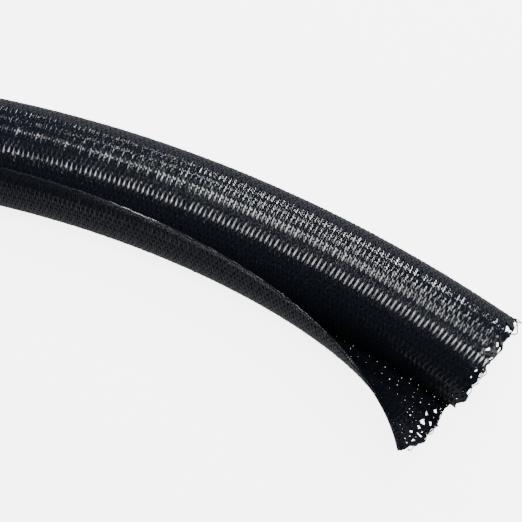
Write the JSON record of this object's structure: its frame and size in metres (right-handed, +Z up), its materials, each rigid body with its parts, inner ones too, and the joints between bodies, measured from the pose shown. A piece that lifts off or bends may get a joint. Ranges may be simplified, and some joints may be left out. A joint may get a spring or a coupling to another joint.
{
  "type": "braided cable sleeve",
  "caption": "Cut length of split, self-closing braided sleeve for cables and hoses, gently bent from its coil, its outer wrap standing open at the fresh-cut end.",
  "frame": {"origin": "middle of the footprint, on the surface that the sleeve rests on", "axes": "+X along the chord of the bend, towards the open mouth; -Y towards the hollow side of the bend, where the slit is; +Z up"},
  "size_m": [0.478, 0.1194, 0.0266],
  "materials": {
    "braid": "black glossy polyester monofilament braid"
  },
  "bodies": {
    "root": {"sleeve": "braid"}
  },
  "joints": []
}
